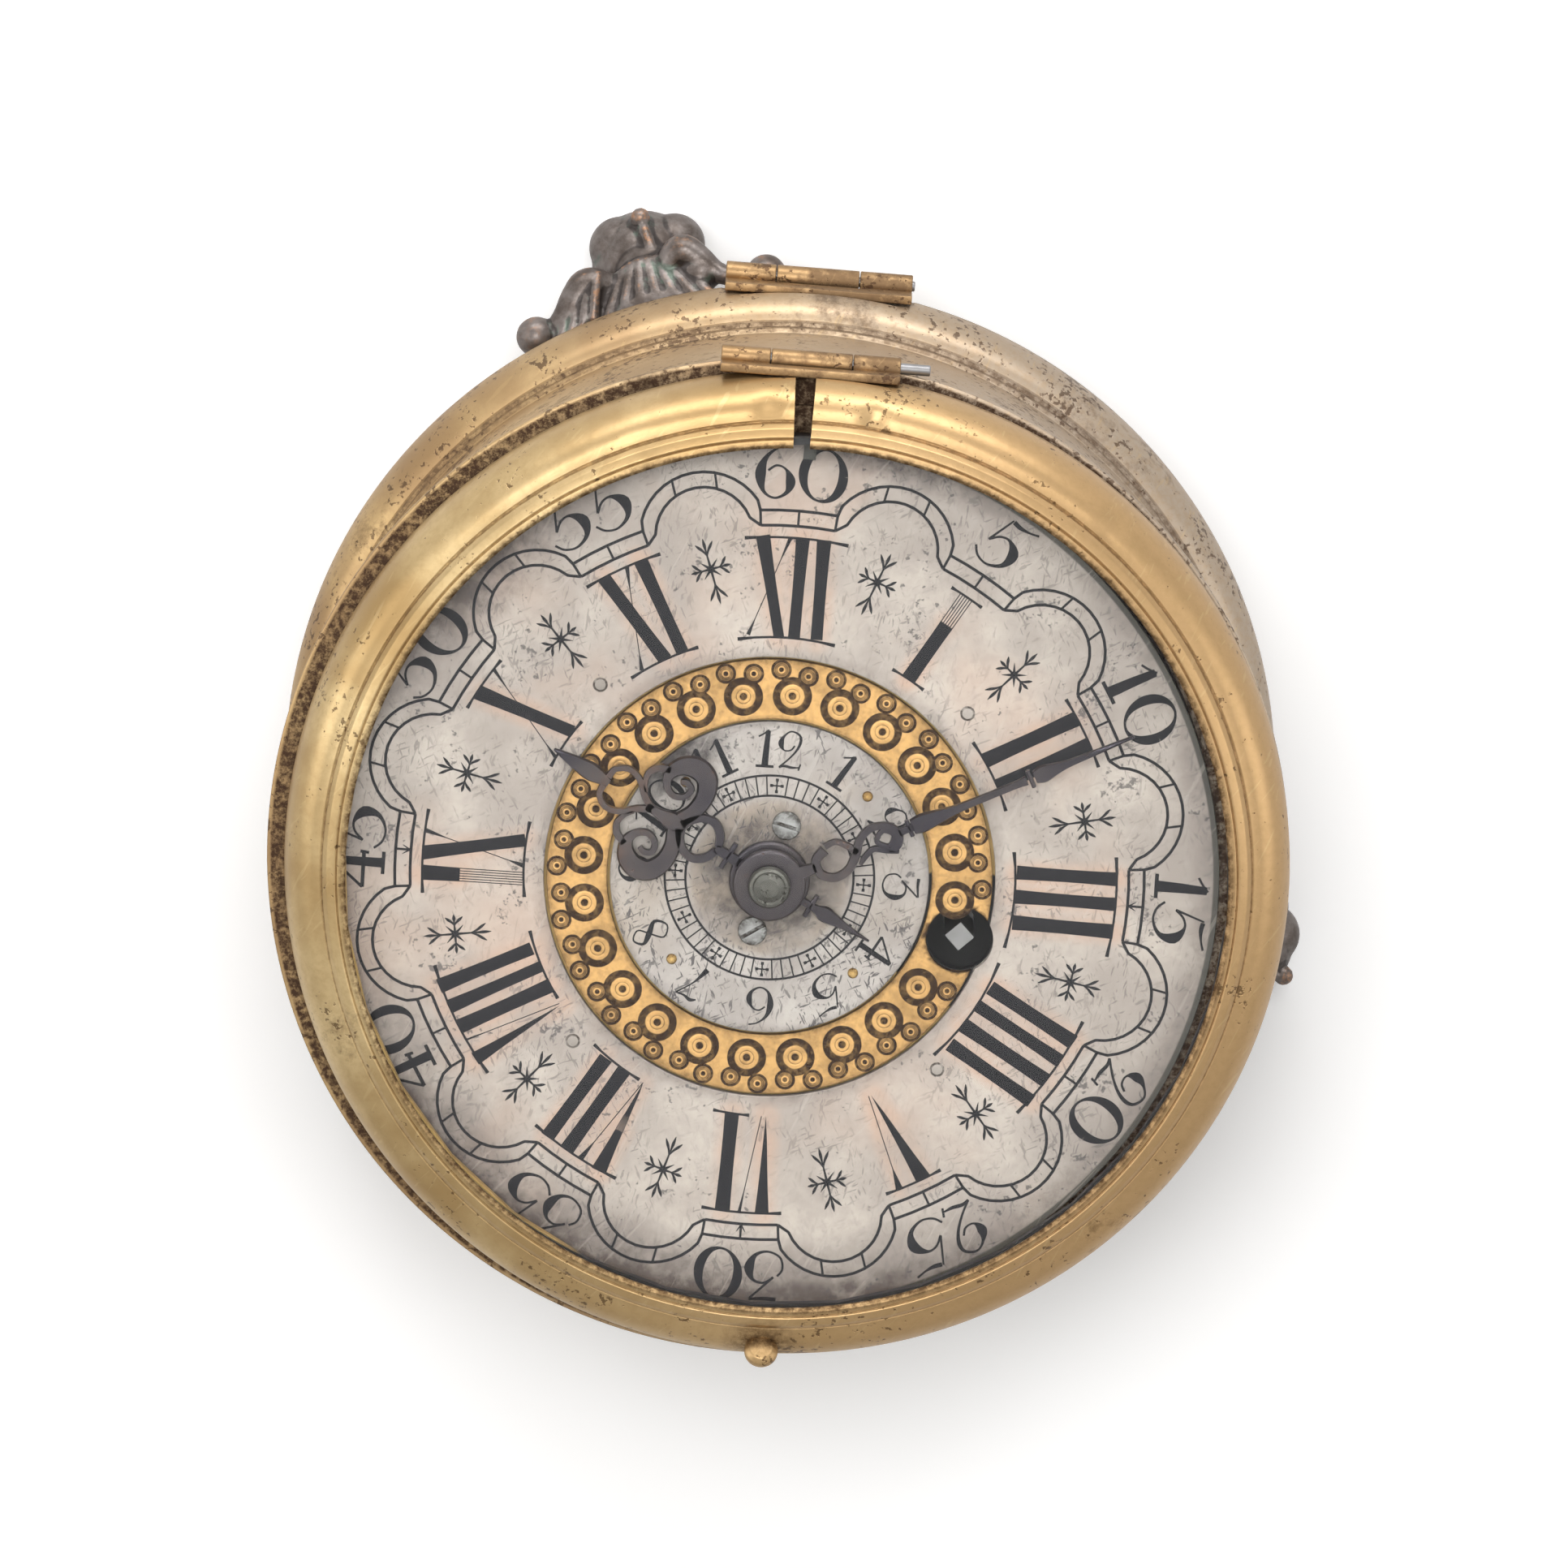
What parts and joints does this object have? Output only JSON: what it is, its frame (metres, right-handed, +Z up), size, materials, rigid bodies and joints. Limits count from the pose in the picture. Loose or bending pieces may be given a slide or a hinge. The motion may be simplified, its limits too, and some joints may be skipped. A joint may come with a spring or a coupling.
{
  "type": "table clock",
  "caption": "Horizontal table clock: gilt drum on ball feet, hinged glazed bezel, silvered dial, two pierced hands, alarm disc, fusee movement and a bell in the hinged base.",
  "frame": {"origin": "centre of the bounding box on the floor that the feet stand on", "axes": "+Z up out of the dial, +Y towards 12 o'clock and both hinges, +X towards 3 o'clock"},
  "size_m": [0.1131, 0.1127, 0.0733],
  "materials": {
    "gilt_brass": "worn gilding, satin",
    "silvered_brass": "silvered, matt, engraving filled with black wax",
    "movement_brass": "polished, aged",
    "bronze": "cast, dark brown patina",
    "bell_metal": "turned, satin",
    "steel": "polished steel",
    "dark_steel": "blued steel gone brown-black",
    "clear_glass": "clear"
  },
  "bodies": {
    "base": {"bottom_cover": "gilt_brass", "foot_back": "bronze", "foot_right": "bronze", "foot_left": "bronze", "foot_back_screw": "steel", "foot_right_screw": "steel", "foot_left_screw": "steel", "bell": "bell_metal", "bell_post": "movement_brass", "cover_hinge_leaf": "gilt_brass"},
    "case": {"case_drum": "gilt_brass", "case_hinge_leaf": "gilt_brass", "case_hinge_pin": "steel", "bezel_hinge_lug": "gilt_brass", "dial_plate": "movement_brass", "chapter_ring": "silvered_brass", "ornament_ring": "gilt_brass", "movement_latch": "steel", "pillar_plate": "movement_brass", "back_plate": "movement_brass", "pillar_pin_1": "steel", "pillar_pin_2": "steel", "pillar_pin_3": "steel", "pillar_pin_4": "steel", "barrel_arbor": "steel", "fusee_chain": "steel", "potence": "movement_brass", "balance_spring": "steel", "balance_cock": "gilt_brass", "cock_screw": "steel"},
    "bezel": {"bezel_ring": "gilt_brass", "bezel_glass": "clear_glass", "glass_retainer": "movement_brass", "bezel_hinge_leaf": "gilt_brass", "bezel_hinge_pin": "steel", "bezel_knob": "gilt_brass"},
    "minute_work": {"minute_hand": "dark_steel", "hand_collet": "steel", "cannon_pinion": "steel"},
    "hour_work": {"hour_hand": "dark_steel", "hour_wheel": "movement_brass"},
    "alarm_setting": {"alarm_disc": "silvered_brass", "alarm_disc_screw_1": "steel", "alarm_disc_screw_2": "steel"},
    "minute_wheel_work": {"minute_wheel": "movement_brass"},
    "centre_work": {"centre_arbor": "steel", "centre_wheel": "movement_brass"},
    "great_wheel_work": {"great_wheel": "movement_brass"},
    "fusee_work": {"fusee": "steel"},
    "barrel_work": {"spring_barrel": "movement_brass", "mainspring": "steel"},
    "third_work": {"third_wheel": "movement_brass"},
    "contrate_work": {"contrate_wheel": "movement_brass"},
    "escape_work": {"escape_wheel": "movement_brass"},
    "balance_work": {"balance_wheel": "movement_brass", "verge_staff": "steel"},
    "alarm_barrel_work": {"alarm_barrel": "movement_brass"},
    "alarm_escape_work": {"alarm_escape_wheel": "steel"},
    "hammer_work": {"alarm_hammer": "steel"}
  },
  "joints": [
    {"name": "case_hinge", "type": "hinge", "parent": "base", "child": "case", "pos_m": [-0.00282, 0.05166, 0.0186], "axis": [-1, 0, 0], "range_deg": [0, 80]},
    {"name": "bezel_hinge", "type": "hinge", "parent": "case", "child": "bezel", "pos_m": [-0.00282, 0.05056, 0.0632], "axis": [-1, 0, 0], "range_deg": [0, 95]},
    {"name": "minute_hand_turn", "type": "hinge", "parent": "case", "child": "minute_work", "pos_m": [-0.00362, -0.00359, 0.0695], "axis": [0, 0, -1], "continuous": true},
    {"name": "hour_hand_turn", "type": "hinge", "parent": "case", "child": "hour_work", "pos_m": [-0.00362, -0.00359, 0.0673], "axis": [0, 0, -1], "continuous": true},
    {"name": "alarm_disc_turn", "type": "hinge", "parent": "hour_work", "child": "alarm_setting", "pos_m": [-0.00362, -0.00359, 0.0656], "axis": [0, 0, -1], "continuous": true},
    {"name": "minute_wheel_turn", "type": "hinge", "parent": "case", "child": "minute_wheel_work", "pos_m": [-0.00704, -0.01299, 0.058], "axis": [0, 0, -1], "continuous": true},
    {"name": "contrate_wheel_turn", "type": "hinge", "parent": "case", "child": "contrate_work", "pos_m": [-0.00919, -0.0203, 0.045], "axis": [0, 0, 1], "continuous": true},
    {"name": "third_wheel_turn", "type": "hinge", "parent": "case", "child": "third_work", "pos_m": [-0.01446, -0.01118, 0.0495], "axis": [0, 0, 1], "continuous": true},
    {"name": "centre_arbor_turn", "type": "hinge", "parent": "case", "child": "centre_work", "pos_m": [-0.00362, -0.00359, 0.041], "axis": [0, 0, 1], "continuous": true},
    {"name": "great_wheel_turn", "type": "hinge", "parent": "case", "child": "great_wheel_work", "pos_m": [0.01667, -0.00861, 0.052], "axis": [0, 0, 1], "continuous": true},
    {"name": "escape_wheel_turn", "type": "hinge", "parent": "case", "child": "escape_work", "pos_m": [-0.00919, -0.0203, 0.04246], "axis": [-0.3164, -0.9486, 0], "continuous": true},
    {"name": "fusee_winding", "type": "hinge", "parent": "great_wheel_work", "child": "fusee_work", "pos_m": [0.01667, -0.00861, 0.046], "axis": [0, 0, 1], "range_deg": [0, 1440]},
    {"name": "barrel_turn", "type": "hinge", "parent": "case", "child": "barrel_work", "pos_m": [-0.00162, 0.02261, 0.046], "axis": [0, 0, 1], "range_deg": [-90, 1200]},
    {"name": "balance_swing", "type": "hinge", "parent": "case", "child": "balance_work", "pos_m": [-0.01425, -0.03547, 0.034], "axis": [0, 0, 1], "range_deg": [-100, 100], "stiffness_Nm_per_rad": 0.00003},
    {"name": "alarm_barrel_turn", "type": "hinge", "parent": "case", "child": "alarm_barrel_work", "pos_m": [-0.03062, 0.00341, 0.045], "axis": [0, 0, 1], "continuous": true},
    {"name": "alarm_escape_turn", "type": "hinge", "parent": "case", "child": "alarm_escape_work", "pos_m": [-0.02109, 0.00891, 0.0521], "axis": [0, 0, 1], "continuous": true},
    {"name": "alarm_hammer_swing", "type": "hinge", "parent": "case", "child": "hammer_work", "pos_m": [-0.0239, 0.01662, 0.034], "axis": [0, 0, 1], "range_deg": [0, 5]}
  ],
  "couplings": [
    {"joint": "hour_hand_turn", "follows": "minute_hand_turn", "ratio": 0.083333},
    {"joint": "minute_wheel_turn", "follows": "minute_hand_turn", "ratio": -0.33333},
    {"joint": "third_wheel_turn", "follows": "contrate_wheel_turn", "ratio": -0.125},
    {"joint": "centre_arbor_turn", "follows": "contrate_wheel_turn", "ratio": 0.015625},
    {"joint": "great_wheel_turn", "follows": "contrate_wheel_turn", "ratio": -0.0026042},
    {"joint": "escape_wheel_turn", "follows": "contrate_wheel_turn", "ratio": -5},
    {"joint": "barrel_turn", "follows": "fusee_winding", "ratio": 0.75},
    {"joint": "alarm_escape_turn", "follows": "alarm_barrel_turn", "ratio": -4.5}
  ]
}
